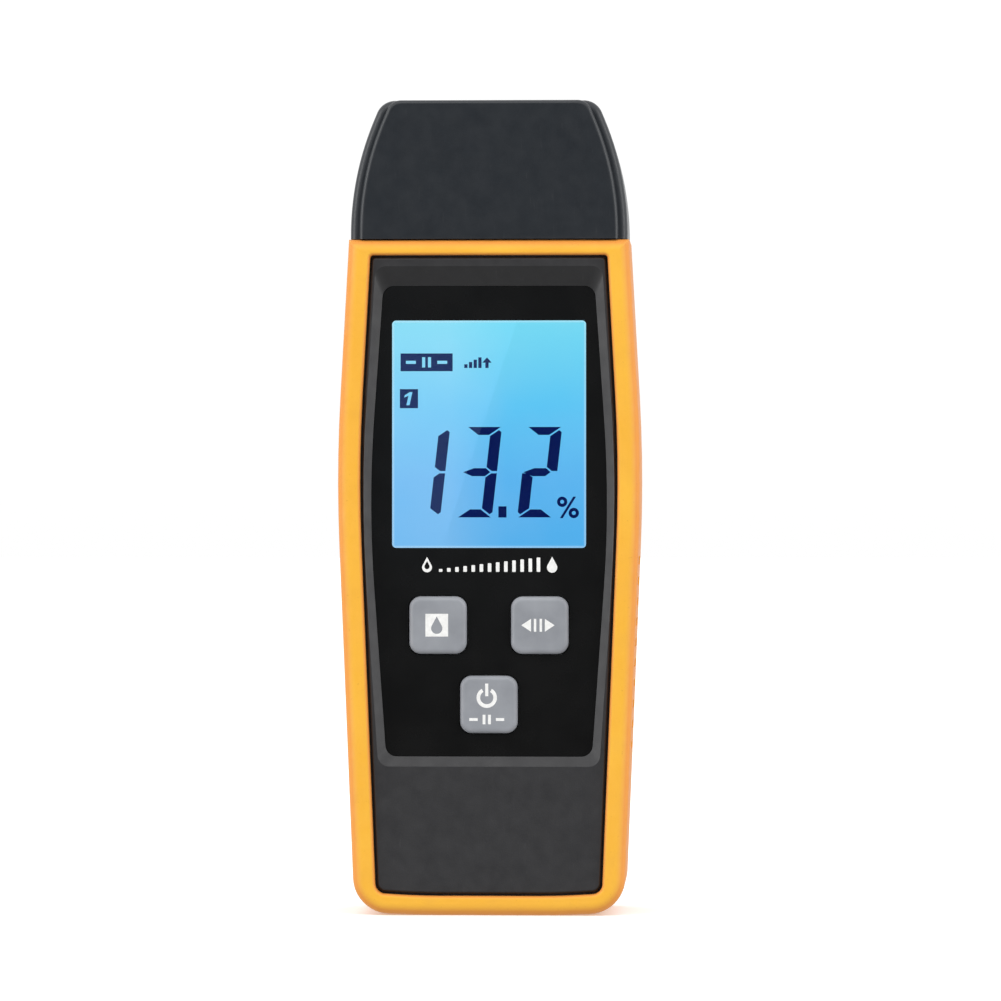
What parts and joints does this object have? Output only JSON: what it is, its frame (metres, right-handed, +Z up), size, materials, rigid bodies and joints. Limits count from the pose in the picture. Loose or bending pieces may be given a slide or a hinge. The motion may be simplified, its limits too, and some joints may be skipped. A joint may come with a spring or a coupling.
{
  "type": "moisture meter",
  "caption": "Hand-held pin-type moisture meter with a rubber boot, backlit display, press keys, battery door and pull-off pin cap.",
  "frame": {"origin": "middle of the foot that the meter stands on, at the lowest point of the boot", "axes": "+Z up the case towards the pins and cap, display facing -Y, +X to the right as the display is read"},
  "size_m": [0.0526, 0.027, 0.142],
  "materials": {
    "boot_rubber": "satin moulded rubber, fine grain",
    "case_plastic": "fine spark-eroded grain",
    "cap_plastic": "fine satin grain",
    "panel_gloss": "printed gloss film",
    "window_clear": "clear acrylic",
    "lcd_glass": "polarised glass lit from behind",
    "backlight": "light guide",
    "frame_plastic": "plain",
    "connector_rubber": "layered conductive rubber",
    "key_grey": "soft satin",
    "switch_plastic": "plain",
    "board_green": "solder mask",
    "chip_black": "plain",
    "capacitor_can": "bright",
    "screw_steel": "blackened zinc",
    "electrode_steel": "ground stainless",
    "nut_brass": "machined",
    "cell_jacket": "plain printed jacket",
    "spring_steel": "nickel plated",
    "plate_foil": "blank satin foil"
  },
  "bodies": {
    "case": {"rubber_boot": "boot_rubber", "front_shell": "case_plastic", "rear_shell": "case_plastic", "head_block": "case_plastic", "overlay_panel": "panel_gloss", "display_window": "window_clear", "lcd_glass": "lcd_glass", "lcd_backlight": "backlight", "lcd_frame": "frame_plastic", "lcd_connector": "connector_rubber", "tact_switches": "switch_plastic", "main_board": "board_green", "control_chips": "chip_black", "capacitors": "capacitor_can", "buzzer": "chip_black", "board_screws": "screw_steel", "case_screws": "screw_steel", "electrode_left": "electrode_steel", "electrode_right": "electrode_steel", "electrode_nuts": "nut_brass", "electrode_tabs": "nut_brass", "battery_cells": "cell_jacket", "battery_springs": "spring_steel", "contact_lower": "spring_steel", "contact_upper": "spring_steel", "rating_plate": "plate_foil"},
    "cap": {"pin_cap": "cap_plastic"},
    "door": {"battery_door": "case_plastic"},
    "key_mode": {"key_mode": "key_grey"},
    "key_set": {"key_set": "key_grey"},
    "key_power": {"key_power": "key_grey"}
  },
  "joints": [
    {"name": "cap_pull", "type": "slide", "parent": "case", "child": "cap", "axis": [0, 0, 1], "range_m": [0, 0.03]},
    {"name": "key_mode_press", "type": "slide", "parent": "case", "child": "key_mode", "axis": [0, 1, 0], "range_m": [0, 0.0006], "stiffness_N_per_m": 1200, "springref_m": -0.0005},
    {"name": "key_set_press", "type": "slide", "parent": "case", "child": "key_set", "axis": [0, 1, 0], "range_m": [0, 0.0006], "stiffness_N_per_m": 1200, "springref_m": -0.0005},
    {"name": "key_power_press", "type": "slide", "parent": "case", "child": "key_power", "axis": [0, 1, 0], "range_m": [0, 0.0006], "stiffness_N_per_m": 1200, "springref_m": -0.0005},
    {"name": "door_swing", "type": "hinge", "parent": "case", "child": "door", "pos_m": [0, 0.01185, 0.01285], "axis": [-1, 0, 0], "range_deg": [0, 80]}
  ]
}
